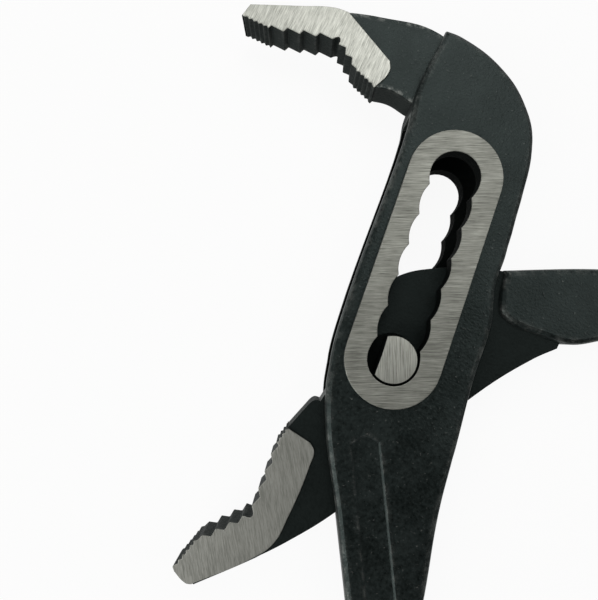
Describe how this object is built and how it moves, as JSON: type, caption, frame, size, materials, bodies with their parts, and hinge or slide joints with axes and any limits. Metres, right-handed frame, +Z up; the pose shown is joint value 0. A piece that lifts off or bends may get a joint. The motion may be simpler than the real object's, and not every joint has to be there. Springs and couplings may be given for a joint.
{
  "type": "water pump pliers",
  "caption": "Slip-joint water pump pliers: toothed jaws, a box joint whose D-shaped pin slides between scalloped seats of a slot, and two sleeved handles; laid flat, wide open.",
  "frame": {"origin": "on the pivot axis at the underside: the centre of the pin's lower end face, with the pin in the lowest seat", "axes": "+Z up, square to the flat tool; +Y along the adjusting slot towards the upper jaw; +X to the side where the lower arm's handle leaves the joint"},
  "size_m": [0.222, 0.2505, 0.015],
  "materials": {
    "black_steel": "black oxide on forged steel, satin, with ground bright faces on the jaws and pads",
    "ground_steel": "ground bright, fine brush lines",
    "grip_plastic": "plain matt soft PVC sleeve"
  },
  "bodies": {
    "slotted_arm": {"slotted_arm": "black_steel", "slotted_arm_grip": "grip_plastic"},
    "pivot_pin": {"pivot_pin": "ground_steel"},
    "lower_arm": {"lower_arm": "black_steel", "lower_arm_grip": "grip_plastic"}
  },
  "joints": [
    {"name": "seat_slide", "type": "slide", "parent": "slotted_arm", "child": "pivot_pin", "axis": [0, 1, 0], "range_m": [0, 0.0435]},
    {"name": "pivot_hinge", "type": "hinge", "parent": "pivot_pin", "child": "lower_arm", "pos_m": [0, 0, 0.0075], "axis": [0, 0, -1], "range_deg": [0, 82]}
  ]
}
